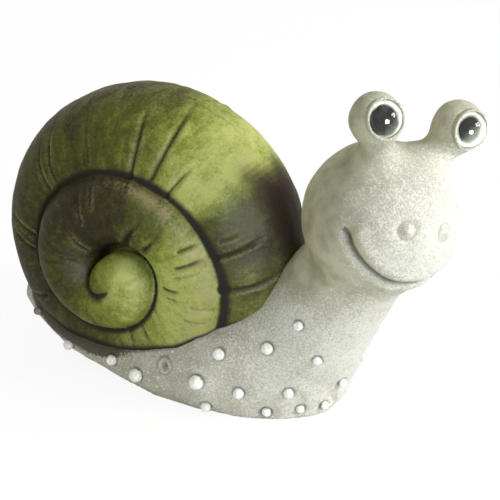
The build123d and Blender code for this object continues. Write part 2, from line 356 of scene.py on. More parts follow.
def coilTree():
    inputs = [(label, "Float", value) for label, value in coilInputs.items()] + [("Finish", "Material", None)]
    tree, nodes, given = newTree("coilShell", "Geometry", inputs, (("Geometry", "Geometry"),))

    def station(turn):
        # The rule of the coil as fields: centre, outward direction and tube radius at a turn
        share = nodes.math("DIVIDE", turn, given["Last turn"])
        angle = nodes.minus(math.pi, nodes.times(turn, 2 * math.pi))
        along, up = nodes.times(nodes.math("COSINE", angle), given["Stretch"]), nodes.math("SINE", angle)
        reach, tube, side, lift = (
            nodes.times(shareCurve(nodes, share, column, low, high), given[label])
            for column, low, high, label in (
                (1, 0, 1.1, "Coil radius"), (2, 0, 1, "Tube radius"), (3, 0, 1, "Spire reach"),
                (4, liftFloor, 1, "Lift"),
            )
        )
        x = nodes.plus(given["Coil X"], nodes.times(reach, along))
        z = nodes.plus(nodes.plus(given["Coil Z"], lift), nodes.times(reach, up))
        outward = nodes.vector("NORMALIZE", nodes.point(along, 0.0, up))
        return nodes.point(x, nodes.times(side, -1.0), z), outward, tube

    # Whorls: a grid of turns and ring points, bent along the coil
    grid = nodes.add("GeometryNodeMeshGrid", {
        "Size X": 1.0, "Size Y": 1.0, "Vertices X": coil["turnsRows"], "Vertices Y": coil["ringPoints"],
    })
    place = nodes.parts(nodes.add("GeometryNodeInputPosition").outputs[0])
    share = nodes.plus(place[0], 0.5)
    span = nodes.minus(given["Last turn"], given["Tube from"])
    ring = nodes.times(nodes.plus(place[1], 0.5), 2 * math.pi)
    centre, outward, tube = station(nodes.plus(given["Tube from"], nodes.times(span, share)))
    # The tube closes to a point over its first and last rows
    closing = nodes.times(nodes.math("MINIMUM", share, nodes.minus(1.0, share)), coil["closingRate"])
    radius = nodes.times(tube, nodes.math("MINIMUM", closing, 1.0))
    outPart = nodes.vector("SCALE", outward, nodes.math("COSINE", ring))
    spoke = nodes.vector("ADD", outPart, nodes.point(0.0, nodes.math("SINE", ring), 0.0))
    spot = nodes.vector("ADD", centre, nodes.vector("SCALE", spoke, radius))
    whorls = nodes.add("GeometryNodeSetPosition", {"Geometry": grid.outputs[0], "Position": spot})
    whorls = nodes.add("GeometryNodeMergeByDistance", {"Geometry": whorls, "Distance": coil["merge"]})

    # Nub: balls set closely along the first half turn
    row = nodes.add("GeometryNodeMeshLine", {"Count": coil["nubBalls"]}, mode="OFFSET")
    index = nodes.add("GeometryNodeInputIndex").outputs[0]
    nubTurn = nodes.times(nodes.math("DIVIDE", index, coil["nubBalls"] - 1.0), coil["nubTurns"])
    nubCentre, _, nubTube = station(nubTurn)
    row = nodes.add("GeometryNodeSetPosition", {"Geometry": row, "Position": nubCentre})
    ball = nodes.add("GeometryNodeMeshIcoSphere", {"Radius": 1.0, "Subdivisions": 4})
    nub = nodes.add("GeometryNodeInstanceOnPoints", {
        "Points": row, "Instance": ball.outputs[0], "Scale": nodes.times(nubTube, given["Nub swell"]),
    })
    nub = nodes.add("GeometryNodeRealizeInstances", {"Geometry": nub})

    # Both sides: the right side and its mirror image, round one core
    right = nodes.join(whorls, nub)
    mirrored = nodes.add("GeometryNodeTransform", {"Geometry": right, "Scale": (1.0, -1.0, 1.0)})
    mirrored = nodes.add("GeometryNodeFlipFaces", {"Mesh": mirrored})
    core = nodes.add("GeometryNodeMeshIcoSphere", {"Radius": given["Core radius"], "Subdivisions": 5})
    coreSpot = nodes.point(given["Coil X"], 0.0, nodes.plus(given["Coil Z"], given["Lift"]))
    core = nodes.add("GeometryNodeTransform", {"Geometry": core.outputs[0], "Translation": coreSpot})
    whole = nodes.join(right, mirrored, core)

    # The seat: nothing hangs below it
    here = nodes.parts(nodes.add("GeometryNodeInputPosition").outputs[0])
    seated = nodes.point(here[0], here[1], nodes.larger(here[2], given["Seat Z"]))
    whole = nodes.add("GeometryNodeSetPosition", {"Geometry": whole, "Position": seated})
    whole = nodes.add("GeometryNodeRealizeInstances", {"Geometry": whole})
    nodes.close({0: nodes.add("GeometryNodeSetMaterial", {"Geometry": whole, "Material": given["Finish"]})})
    return tree


def runTree(name, tree, values):
    # A host piece that carries the tree, with its named inputs set
    host = newPiece(name, bpy.data.meshes.new(name))
    modifier = host.modifiers.new("form", "NODES")
    modifier.node_group = tree
    for item in tree.interface.items_tree:
        if item.item_type == "SOCKET" and item.in_out == "INPUT" and item.name in values:
            modifier[item.identifier] = values[item.name]
    return host


def plainCopy(host, name):
    # The host's evaluated mesh as a plain piece, taken from millimetres to metres
    bpy.context.view_layer.update()
    evaluated = host.evaluated_get(bpy.context.evaluated_depsgraph_get())
    mesh = bpy.data.meshes.new_from_object(evaluated)
    bpy.data.objects.remove(host)
    mesh.name = name
    mesh.shade_smooth()
    mesh.transform(Matrix.Scale(mm, 4))
    mesh.update()
    return newPiece(name, mesh)


# Creases of the whorls: turn and ring angle at the suture and at the outer end, depth and width
creases = (
    (2.28, 86, 2.26, 22, 1.5, 1.5), (2.31, 80, 2.29, -8, 1.5, 1.7), (2.34, 84, 2.34, 50, 1.2, 1.2),
    (2.21, 78, 2.20, 30, 0.7, 1.2), (2.14, 87, 2.16, 34, 1.1, 1.2), (2.12, 86, 2.14, 40, 1.0, 1.2),
    (2.02, 88, 2.03, 48, 1.1, 1.3), (1.99, 88, 2.02, 50, 1.1, 1.3), (2.45, 74, 2.44, 30, 1.3, 1.4),
    (2.50, 72, 2.48, 14, 1.4, 1.5), (2.43, 66, 2.43, 46, 0.8, 1.0), (1.33, 144, 1.34, 74, 2.1, 1.9),
    (1.39, 124, 1.38, 78, 1.4, 1.5), (1.13, 140, 1.15, 102, 1.0, 1.2), (1.20, 92, 1.20, 40, 0.8, 1.1),
    (1.23, 72, 1.22, 28, 0.7, 1.0), (1.45, 80, 1.44, 32, 1.3, 1.5), (1.42, 64, 1.42, 32, 1.1, 1.3),
    (1.47, 86, 1.46, 48, 0.7, 1.0), (1.51, 116, 1.50, 80, 1.3, 1.3), (1.53, 108, 1.525, 84, 0.8, 1.0),
    (1.70, 106, 1.70, 84, 1.2, 1.2), (1.66, 108, 1.66, 84, 1.2, 1.2), (1.56, 76, 1.55, 38, 0.7, 1.0),
    (1.53, 70, 1.53, 34, 0.7, 1.0), (0.35, 56, 0.34, -30, 0.9, 1.1), (0.45, 60, 0.40, -8, 0.9, 1.1),
    (0.24, 16, 0.23, 66, 0.5, 1.0), (0.55, 78, 0.54, 4, 0.6, 0.9), (0.59, 72, 0.58, 8, 0.5, 0.9),
    (0.65, 68, 0.64, 12, 0.4, 0.9), (1.05, 130, 1.04, 96, 0.7, 1.1), (1.90, 80, 1.92, 40, 0.9, 1.3),
)


crease = {
    "samples": 60, "reach": 45.0, "overshoot": 1.15, "taperFrom": 0.45, "cut": 1.15, "lip": 0.42, "lipPlace": 1.7,
}


def carveCreases(mesh, masks):
    points, normals = pointsOf(mesh), normalsOf(mesh)
    folded = points.copy()
    folded[:, 1] = -np.abs(folded[:, 1])
    move, groove = np.zeros(len(points)), np.zeros(len(points))
    for turnIn, ringIn, turnOut, ringOut, depth, width in creases:
        t = np.linspace(0, 1, crease["samples"])
        turn = turnIn + (turnOut - turnIn) * t**1.5
        ring = np.radians(ringIn + crease["overshoot"] * (ringOut - ringIn) * t)
        centre, outward, tube = coilStation(turn)
        spoke = outward * np.cos(ring)[:, None]
        spoke[:, 1] -= np.sin(ring)
        line = centre + tube[:, None] * spoke
        near = np.where(lengths(folded - line.mean(0)) < crease["reach"])[0]
        gap = lengths(folded[near][:, None] - line[None])
        best = gap.argmin(1)
        distance = gap[np.arange(len(near)), best]
        heading = np.gradient(line, axis=0)
        heading /= lengths(heading)[:, None]
        side = np.sign((np.cross(heading[best], spoke[best]) * (folded[near] - line[best])).sum(1))
        taper = 1 - smoothstep(crease["taperFrom"], 1.0, t[best])
        cut = crease["cut"] * depth * taper * bell(distance, 1.15 * width * (0.55 + 0.45 * taper))
        lip = crease["lip"] * depth * taper * bell(side * distance - crease["lipPlace"] * width, 1.1 * width)
        move[near] += lip - cut
        # Painted shade in the crease, kept as the crease mask
        shade = taper * bell(distance, width * 0.95) * min(1.0, 0.15 + 0.7 * depth)
        groove[near] = np.maximum(groove[near], shade)
    movePoints(mesh, points + normals * move[:, None])
    masks["crease"] = groove


print("stage: coil rule set")

# Head directions, as the CAD has them
head = {
    "centre": np.array((0.3871 * 217.0, 0.0, 126.0)),
    "radius": 43.5,
    "yaw": -28.0,
    "roll": 16.0,
    "aims": {-1: (-8.0, 17.0), 1: (0.0, 7.0)},
    "bulbLean": 0.2184,
    "bulbSpread": 0.6667,
    "bulbRise": 1.3563,
}
yaw, roll = math.radians(head["yaw"]), math.radians(head["roll"])
face = np.array((math.cos(yaw), math.sin(yaw), 0))
levelLeft = np.array((-math.sin(yaw), math.cos(yaw), 0))
skyward = np.array((0, 0, 1.0))
crown = skyward * math.cos(roll) + levelLeft * math.sin(roll)
cheek = levelLeft * math.cos(roll) - skyward * math.sin(roll)


def onHead(forward, sideways, upward):
    return head["centre"] + face * forward + cheek * sideways + crown * upward


def bulbCentre(side):
    r = head["radius"]
    return onHead(head["bulbLean"] * r, side * head["bulbSpread"] * r, head["bulbRise"] * r)


def gaze(side):
    # Direction in which an eye looks
    turn, pitch = (math.radians(angle) for angle in head["aims"][side])
    return (face * math.cos(turn) + cheek * math.sin(turn)) * math.cos(pitch) + crown * math.sin(pitch)


def eyeSpokes(side):
    # Two directions across an eye
    first = np.cross(crown, gaze(side))
    first /= np.linalg.norm(first)
    return first, np.cross(gaze(side), first)


# Body: foot, neck, head, stalks and bulbs, as one smooth form
body = {
    "voxel": 1.15,
    "low": (-160.0, -61.0, -3.0),
    "high": (132.0, 61.0, 209.0),
    "footHalfWidth": 55.0,
    "footHeight": 68.0,
    "tailX": -155.0,
    "tailLift": 14.0,
    "neckRadius": 38.0,
    "footToNeck": 13.0,
    "neckToHead": 7.0,
    "stalkToHead": 8.0,
    "stalkRadius": 9.5,
    "bulbRadius": 14.5,
    "bulbToStalk": 5.0,
    "waves": ((14.0, 0.5, 1), (5.0, 0.14, 2)),
    "bedding": {"depth": 0.25, "most": 3.5, "reach": 8.0, "hollow": 0.35, "hollowWidth": 1.1},
}
# Foot rows: place along, half width, underside lift, top height, flat part of the underside, widest place
footStations = np.array((
    (0.000, 0.25, 1.64, 0.52, 0.50, 0.40), (0.028, 0.43, 1.32, 0.58, 0.38, 0.42), (0.090, 0.60, 0.86, 0.64, 0.34, 0.42),
    (0.190, 0.77, 0.30, 0.66, 0.42, 0.40), (0.310, 0.89, 0.04, 0.64, 0.60, 0.34), (0.429, 0.95, 0.00, 0.68, 0.80, 0.29),
    (0.548, 1.02, 0.00, 0.78, 0.86, 0.28), (0.677, 1.03, 0.00, 0.92, 0.86, 0.28), (0.806, 0.87, 0.00, 0.99, 0.86, 0.28),
    (0.871, 0.70, 0.00, 0.93, 0.86, 0.28), (0.926, 0.53, 0.00, 0.79, 0.86, 0.28), (0.968, 0.38, 0.04, 0.59, 0.86, 0.28),
    (0.991, 0.23, 0.22, 0.41, 0.86, 0.28), (1.000, 0.07, 0.50, 0.26, 0.86, 0.28),
))
neckStations = (
    (0.17, 0.00, 1.05), (0.27, 0.17, 1.05), (0.45, 0.33, 0.97),
    (0.62, 0.51, 0.87), (0.80, 0.70, 0.80), (0.92, 0.86, 0.78),
)
# Half width of a foot section over the height above its widest place
sectionTop = ((0.28, 0.5, 0.72, 0.84, 0.92, 0.97, 1.0), (1.0, 0.95, 0.80, 0.64, 0.46, 0.28, 0.0))
stalkStations = ((0.48, 1.72), (0.60, 1.32), (0.70, 1.08), (0.80, 1.00), (0.88, 1.12))

mouth = {
    "pitch": 30.0, "spread": 66.8, "halfTurn": 76.0, "depth": 3.4, "width": 1.9,
    "upperLip": 1.5, "lowerLip": 0.8, "corner": 2.2, "skin": 14.0,
}
nostrils = {"turn": 17.8, "pitch": 10.0, "radius": 3.6, "proud": 1.9, "ring": 1.1}
lid = {"eyeRadius": 10.0, "gap": 0.15, "wall": 1.2, "seat": 8.6, "height": 2.8, "steps": 112}


def roundedCone(points, a, b, radiusA, radiusB):
    a, b = np.asarray(a, float), np.asarray(b, float)
    way = b - a
    t = np.clip(((points - a) @ way) / (way @ way), 0, 1)
    return lengths(points - (a + t[..., None] * way)) - (radiusA + (radiusB - radiusA) * t)


def footField(points):
    x, y, z = points[..., 0], points[..., 1], points[..., 2]
    share = (x - body["tailX"]) / coil["footLength"]
    wide, lift, tall, flat, widest = (np.interp(share, footStations[:, 0], row) for row in footStations.T[1:])
    half = np.maximum(wide * body["footHalfWidth"], 1.5)
    under = lift * body["tailLift"]
    high = np.maximum(tall * body["footHeight"] - under, 4.0)
    rise = np.clip((z - under) / high, 0, 1)
    # Outline of a section: half width over the height, under and over its widest place
    low = np.clip(rise / widest, 0, 1)
    below = flat + (1 - flat) * low * (2 - low)
    above = np.interp(0.28 + 0.72 * (rise - widest) / (1 - widest), *sectionTop)
    outline = np.where(rise < widest, below, above)
    side = (np.abs(y) - half * outline) * 0.8
    top = (z - under - high) * 0.9
    length = coil["footLength"]
    return np.maximum.reduce([side, top, under - z, (share - 1.0) * length, -share * length])


def mouthPlace(points):
    # Height over the mouth line in millimetres, turn along it in degrees, and distance from the head's middle
    pitch = math.radians(mouth["pitch"])
    axis = face * math.cos(pitch) + crown * math.sin(pitch)
    lowest = face * math.sin(pitch) - crown * math.cos(pitch)
    way = points - head["centre"]
    reach = np.maximum(lengths(way), 1e-3)
    away = np.degrees(np.arccos(np.clip((way @ axis) / reach, -1, 1)))
    turn = np.degrees(np.arctan2(way @ cheek, way @ lowest))
    return np.radians(mouth["spread"] - away) * head["radius"], turn, reach


def faceRelief(points):
    # How far the head's skin stands proud of its ball
    above, turn, reach = mouthPlace(points)
    skin = bell(reach - head["radius"], mouth["skin"])
    # The near corner is deep and wide, and the groove thins towards the far side
    end = 1 - smoothstep(mouth["halfTurn"] - 9, mouth["halfTurn"], np.abs(turn))
    lean = 1.0 - 0.45 * smoothstep(-25, 55, turn)
    groove = mouth["depth"] * lean * bell(above, mouth["width"] * (0.7 + 0.5 * lean))
    lips = mouth["upperLip"] * lean * bell(above - 6.5, 4.6) + mouth["lowerLip"] * bell(above + 5.0, 3.6)
    relief = end * (lips - groove)
    for side in (-1, 1):
        corner = bell(np.hypot(above - 0.5, np.radians(turn - side * (mouth["halfTurn"] - 6)) * 38.0), 3.4)
        relief = relief - mouth["corner"] * (1.0 if side < 0 else 0.7) * corner
    return relief * skin


def nostrilSpot(side):
    turn, pitch = math.radians(nostrils["turn"]), math.radians(nostrils["pitch"])
    way = (face * math.cos(turn) + cheek * side * math.sin(turn)) * math.cos(pitch) + crown * math.sin(pitch)
    return head["centre"] + way * (head["radius"] + nostrils["proud"] - nostrils["radius"])


def chain(points, spots):
    # Rounded cones set end to end, from middles and radii
    links = zip(spots[:-1], spots[1:])
    return np.minimum.reduce([roundedCone(points, a, b, ra, rb) for (a, ra), (b, rb) in links])


def bodyField(points):
    scale = np.array((head["centre"][0], 0, head["centre"][2]))
    neck = chain(points, [(scale * np.array((x, 0, z)), r * body["neckRadius"]) for x, z, r in neckStations])
    d = smoothUnion(footField(points), neck, body["footToNeck"])
    ball = lengths(points - head["centre"]) - head["radius"]
    d = smoothUnion(d, ball, body["neckToHead"])
    for side in (-1, 1):
        tip = bulbCentre(side)
        way = tip - head["centre"]
        stalk = chain(points, [(head["centre"] + way * far, wide * body["stalkRadius"]) for far, wide in stalkStations])
        bulb = lengths(points - tip) - body["bulbRadius"]
        d = smoothUnion(d, smoothUnion(stalk, bulb, body["bulbToStalk"]), body["stalkToHead"])
    d = d - faceRelief(points)
    for side in (-1, 1):
        gap = lengths(points - nostrilSpot(side))
        d = d + nostrils["ring"] * bell(gap - nostrils["radius"] - 1.8, 1.3)
        d = smoothUnion(d, gap - nostrils["radius"], 1.2)
    for side in (-1, 1):
        # Eye pocket, a little wider than the dome
        way = points - bulbCentre(side)
        forward = way @ gaze(side)
        across = np.sqrt(np.maximum((way**2).sum(-1) - forward**2, 0))
        pocket = np.maximum(across - (lid["eyeRadius"] + lid["gap"] + 0.8), lid["seat"] - 0.2 - forward)
        d = np.maximum(d, -pocket)
    return np.maximum(d, -points[..., 2])


def fieldMesh(name, field, low, high, voxel):
    # Skin of a distance field, from a volume grid
    low, high = np.array(low, float), np.array(high, float)
    axes = [np.arange(low[i], high[i], voxel) for i in range(3)]
    values = np.empty([len(axis) for axis in axes], np.float32)
    flat = np.stack(np.meshgrid(axes[1], axes[2], indexing="ij"), -1)
    for i, x in enumerate(axes[0]):
        slab = np.concatenate([np.full(flat.shape[:-1] + (1,), x), flat], -1)
        values[i] = field(slab)
    grid = openvdb.FloatGrid(background=10.0)
    grid.copyFromArray(values)
    points, triangles, quads = grid.convertToPolygons(isovalue=0.0, adaptivity=0.0)
    faces = [*quads, *triangles]
    return newMesh(name, low + points * voxel, faces)


print("stage: body form set")


def castGrain():
    # Fine grit of the casting: height of the grit, and a mask of its raised grains
    tree, nodes, given = newTree("castGrain", "Shader", (
        ("Vector", "Vector", None), ("Scale", "Float", 0.8), ("Roughness", "Float", 0.6), ("Cover", "Float", 0.5),
    ), (("Height", "Float"), ("Grains", "Float")))
    grit = nodes.cloud(given["Vector"], given["Scale"], 3.0, given["Roughness"], 0.4)
    level = nodes.minus(0.74, nodes.times(given["Cover"], 0.36))
    nodes.close({"Height": grit, "Grains": nodes.band(nodes.minus(grit, level), -0.045, 0.055)})
    return tree


def brushStrokes():
    # Worm-like strokes that a stiff brush leaves in thick paint
    tree, nodes, given = newTree("brushStrokes", "Shader", (
        ("Vector", "Vector", None), ("Scale", "Float", 0.3), ("Width", "Float", 0.04),
    ), (("Strokes", "Float"),))
    curl = nodes.cloud(given["Vector"], given["Scale"], 1.5, 0.55, 1.6)
    away = nodes.math("ABSOLUTE", nodes.minus(curl, 0.5))
    line = nodes.minus(1.0, nodes.math("DIVIDE", away, given["Width"], clamp=True), clamp=True)
    broken = nodes.cloud(given["Vector"], nodes.times(given["Scale"], 1.7), 2.0)
    nodes.close({"Strokes": nodes.times(nodes.band(line, 0.1, 0.75), nodes.band(broken, 0.42, 0.56))})
    return tree


def washAndShade():
    # Thin dark wash that stays in the hollows, with painted shade there too, broken up by blotches
    tree, nodes, given = newTree("washAndShade", "Shader", (
        ("Vector", "Vector", None), ("Hollow", "Float", 0.0), ("Blotch scale", "Float", 0.12), ("Blotch", "Float", 0.5),
    ), (("WashShade", "Float"),))
    blotch = nodes.cloud(given["Vector"], given["Blotch scale"], 4.0, 0.6)
    broken = nodes.plus(given["Hollow"], nodes.swing(blotch, given["Blotch"]))
    nodes.close({"WashShade": nodes.times(nodes.band(broken, 0.12, 0.95), 1.0, clamp=True)})
    return tree


grainGroup, strokeGroup, shadeWashGroup = castGrain(), brushStrokes(), washAndShade()


def newMaterial(name):
    material = bpy.data.materials.new(name)
    material.use_nodes = True
    material.node_tree.nodes.clear()
    nodes = NodeTree(material.node_tree)
    shader = nodes.add("ShaderNodeBsdfPrincipled")
    nodes.add("ShaderNodeOutputMaterial", {0: shader})
    return material, nodes, shader


def coat(nodes, shader, inputs, height=None, distance=0.0):
    # The shader's inputs, and a bump from a height
    for label, value in inputs.items():
        nodes.feed(shader.inputs[label], value)
    if height is not None:
        bump = nodes.add("ShaderNodeBump", {"Height": height, "Distance": distance})
        nodes.feed(shader.inputs["Normal"], bump.outputs["Normal"])


bodyPaint = {
    "ground": (0.500, 0.490, 0.335),
    "groundDeep": (0.300, 0.285, 0.170),
    "groundPaleAndLit": (0.600, 0.605, 0.505),
    "brushed": (0.850, 0.855, 0.790),
    "shadeWash": (0.060, 0.065, 0.045),
    "ledge": (0.075, 0.055, 0.026),
    "toneScale": 0.045,
    "paleAndLitShare": 0.85,
    "grain": {"Scale": 0.80, "Roughness": 0.65},
    "strokes": {"Scale": 0.30, "Width": 0.05},
    "dabs": {"Scale": 0.50, "Width": 0.08},
    "whiteShare": 0.8,
    "ledgeShare": 0.9,
    "hollowShare": 0.9,
    "shadeWashShare": 0.8,
    "blotches": {"Blotch scale": 0.4, "Blotch": 0.35},
    "strokeHeight": 0.6,
    "gritHeight": 0.00042,
    "finish": {"Roughness": 0.72, "Specular IOR Level": 0.12},
}


def bodyMaterial():
    material, nodes, shader = newMaterial("brushedCasting")
    paint, place = bodyPaint, nodes.place()
    hollow = nodes.mask("hollow")
    tone = nodes.cloud(place, paint["toneScale"], 4.0, 0.6)
    colour = nodes.mix(nodes.band(tone, 0.32, 0.66), paint["groundDeep"], paint["ground"])
    # Pale ground where the brushed mask lies: partly white dry brush, partly painted light on the side the lamp falls
    # on
    pale = nodes.times(nodes.mask("brushed"), paint["paleAndLitShare"])
    colour = nodes.mix(pale, colour, paint["groundPaleAndLit"])
    cover = nodes.plus(pale, nodes.swing(tone, 0.5))
    grain = nodes.group(grainGroup, {"Vector": place, "Cover": cover, **paint["grain"]})
    strokes = nodes.group(strokeGroup, {"Vector": place, **paint["strokes"]})["Strokes"]
    dabs = nodes.group(strokeGroup, {"Vector": place, **paint["dabs"]})["Strokes"]
    strokes = nodes.times(strokes, nodes.mask("footShare"))
    painted = nodes.larger(strokes, nodes.times(dabs, nodes.band(cover, 0.05, 0.45)))
    white = nodes.larger(nodes.times(grain["Grains"], paint["whiteShare"]), painted)
    white = nodes.times(white, nodes.minus(1.0, nodes.times(hollow, 0.8), clamp=True))
    colour = nodes.mix(white, colour, paint["brushed"])
    brown = nodes.band(nodes.plus(nodes.mask("ledge"), nodes.swing(grain["Height"], 1.2)), 0.25, 0.55)
    colour = nodes.mix(nodes.times(brown, paint["ledgeShare"]), colour, paint["ledge"])
    # Painted shade with the dark wash: in hollows, under the shell, round the pellets and in the grooves
    deep = nodes.larger(nodes.times(hollow, paint["hollowShare"]), nodes.mask("contactShade"))
    deep = nodes.larger(deep, nodes.mask("groove"))
    shadeWash = nodes.group(shadeWashGroup, {"Vector": place, "Hollow": deep, **paint["blotches"]})["WashShade"]
    colour = nodes.mix(nodes.times(shadeWash, paint["shadeWashShare"]), colour, paint["shadeWash"])
    relief = nodes.plus(grain["Height"], nodes.times(painted, paint["strokeHeight"]))
    coat(nodes, shader, {"Base Color": colour, **paint["finish"]}, relief, paint["gritHeight"])
    return material


shellPaint = {
    "stops": (
        (0.00, (0.012, 0.008, 0.002)), (0.25, (0.036, 0.029, 0.005)), (0.50, (0.088, 0.102, 0.010)),
        (0.75, (0.225, 0.270, 0.040)), (1.00, (0.480, 0.530, 0.150)),
    ),
    "tan": (0.380, 0.320, 0.160),
    "shadeWash": (0.010, 0.007, 0.004),
    "rust": (0.040, 0.022, 0.014),
    "streakWay": (1.0, 0.22, 1.0),
    "streak": (0.26, 4.0, 0.6),
    "blotch": (0.11, 5.0, 0.68),
    "mottle": (0.62, 4.0, 0.75),
    "streakSwing": 0.42,
    "blotchSwing": 0.55,
    "mottleSwing": 0.55,
    "tanShare": 0.75,
    "rustShare": 0.95,
    "creaseShadeShare": 0.80,
    "shadeWashShare": 0.98,
    "blotches": {"Blotch scale": 0.25, "Blotch": 0.22},
    "grain": {"Scale": 0.9, "Roughness": 0.6, "Cover": 0.5},
    "roughness": (0.58, 0.85),
    "gloss": 0.12,
    "streakHeight": 0.0004,
}
# Brightness along the coil, partly the sprayed coats and partly painted light, lighter on the coil's right where the
# lamp falls and darker on its left: turns from the apex, then brightness
coatsAndLight = np.array((
    (0.00, 0.45), (0.22, 0.50), (0.36, 0.72), (0.46, 0.98), (0.60, 0.92), (0.76, 0.62), (0.92, 0.36), (1.05, 0.32),
    (1.18, 0.20), (1.28, 0.26), (1.36, 0.50), (1.44, 0.90), (1.54, 0.96), (1.62, 0.84), (1.70, 0.64), (1.78, 0.42),
    (1.88, 0.20), (2.00, 0.27), (2.12, 0.32), (2.20, 0.40), (2.26, 0.52), (2.30, 0.62), (2.34, 0.92), (2.375, 0.96),
    (2.405, 0.40), (2.44, 0.32), (2.48, 0.48), (2.53, 0.56), (2.60, 0.40), (2.70, 0.28),
))


def colourStops(nodes, value, stops):
    ramp = nodes.add("ShaderNodeValToRGB", {0: value})
    line = ramp.color_ramp.elements
    while len(line) < len(stops):
        line.new(0.5)
    for element, (place, colour) in zip(line, stops):
        element.position = place
        element.color = (*colour, 1.0)
    return ramp.outputs[0]


def shellMaterial():
    material, nodes, shader = newMaterial("greenCasting")
    paint, place = shellPaint, nodes.place()
    way = nodes.add("ShaderNodeAttribute", attribute_name="coilWay").outputs["Vector"]
    # The coat mask holds the sprayed coats and painted light on the side the lamp falls on
    sprayedAndLit = nodes.mask("coat")
    streak = nodes.cloud(nodes.vector("MULTIPLY", way, paint["streakWay"]), *paint["streak"])
    blotch, mottle = nodes.cloud(place, *paint["blotch"]), nodes.cloud(place, *paint["mottle"])
    uneven = nodes.plus(nodes.swing(streak, paint["streakSwing"]), nodes.swing(blotch, paint["blotchSwing"]))
    uneven = nodes.plus(uneven, nodes.swing(mottle, paint["mottleSwing"]))
    colour = colourStops(nodes, nodes.plus(sprayedAndLit, uneven, clamp=True), paint["stops"])
    speckle = nodes.times(nodes.band(streak, 0.44, 0.62), nodes.band(sprayedAndLit, 0.25, 0.85, 0.10, 0.42))
    speckle = nodes.times(nodes.band(mottle, 0.54, 0.70), speckle)
    brush = nodes.band(nodes.plus(nodes.times(streak, 0.5), nodes.times(mottle, 0.5)), 0.40, 0.60)
    brush = nodes.times(brush, nodes.larger(nodes.mask("edgeBand"), nodes.times(nodes.mask("ridge"), 0.55)))
    colour = nodes.mix(nodes.larger(nodes.times(brush, paint["tanShare"]), speckle), colour, paint["tan"])
    rusty = nodes.times(nodes.mask("rustPatch"), nodes.band(mottle, 0.30, 0.50, 0.55, 1.0))
    colour = nodes.mix(nodes.times(rusty, paint["rustShare"]), colour, paint["rust"])
    # Painted shadow under the next whorl and painted shade in the creases, with the dark wash
    deep = nodes.larger(nodes.mask("innerHollow"), nodes.times(nodes.mask("crease"), paint["creaseShadeShare"]))
    shadeWash = nodes.group(shadeWashGroup, {"Vector": place, "Hollow": deep, **paint["blotches"]})["WashShade"]
    colour = nodes.mix(nodes.times(shadeWash, paint["shadeWashShare"]), colour, paint["shadeWash"])
    grain = nodes.group(grainGroup, {"Vector": place, **paint["grain"]})
    relief = nodes.plus(nodes.times(streak, 0.8), nodes.times(grain["Height"], 0.5))
    coat(nodes, shader, {
        "Base Color": colour, "Roughness": nodes.band(shadeWash, 0.0, 0.8, *paint["roughness"]),
        "Specular IOR Level": paint["gloss"],
    }, relief, paint["streakHeight"])
    return material


pelletPaint = {
    "brushed": (0.95, 0.955, 0.90),
    "ground": (0.82, 0.82, 0.73),
    "shadeWash": (0.10, 0.10, 0.07),
    "brown": (0.085, 0.062, 0.040),
    "grain": {"Scale": 0.75, "Roughness": 0.6, "Cover": 0.95},
    "blotches": {"Blotch scale": 0.8, "Blotch": 0.25},
    "shadeWashShare": 0.8,
    "brownShare": 0.85,
    "roughness": 0.7,
    "gritHeight": 0.0005,
}


def pelletMaterial():
    material, nodes, shader = newMaterial("whitePellets")
    paint, place = pelletPaint, nodes.place()
    grain = nodes.group(grainGroup, {"Vector": place, **paint["grain"]})
    colour = nodes.mix(grain["Grains"], paint["ground"], paint["brushed"])
    # Painted shade and dark wash where the pellet meets the body
    shadeWash = nodes.group(shadeWashGroup, {"Vector": place, "Hollow": nodes.mask("contactShade"), **paint["blotches"]})["WashShade"]
    colour = nodes.mix(nodes.times(shadeWash, paint["shadeWashShare"]), colour, paint["shadeWash"])
    colour = nodes.mix(nodes.times(nodes.mask("brown"), paint["brownShare"]), colour, paint["brown"])
    inputs = {"Base Color": colour, "Roughness": paint["roughness"]}
    coat(nodes, shader, inputs, grain["Height"], paint["gritHeight"])
    return material


eyePaint = {
    "pupil": (0.004, 0.005, 0.004),
    "pupilPale": (0.120, 0.128, 0.110),
    "white": (0.52, 0.52, 0.46),
    "whitePale": (0.62, 0.62, 0.58),
    "paleWay": (0.8, -0.6),
    "cloudScale": 0.45,
    "fleckScale": 0.75,
    "disc": {"Roughness": 0.5, "Specular IOR Level": 0.0},
    "backing": {"Roughness": 0.55, "Specular IOR Level": 0.1},
    "grain": {"Scale": 0.5, "Roughness": 0.5, "Cover": 0.8},
    "glass": {"Base Color": (0.97, 0.985, 0.98, 1), "IOR": 1.36, "Transmission Weight": 1.0},
}
# The painted circle: how far it sits towards the snail's right and down, its radius and its soft edge
eyeCircles = {-1: (1.3, 1.2, 7.4, 0.8), 1: (1.1, -0.4, 6.4, 1.3)}


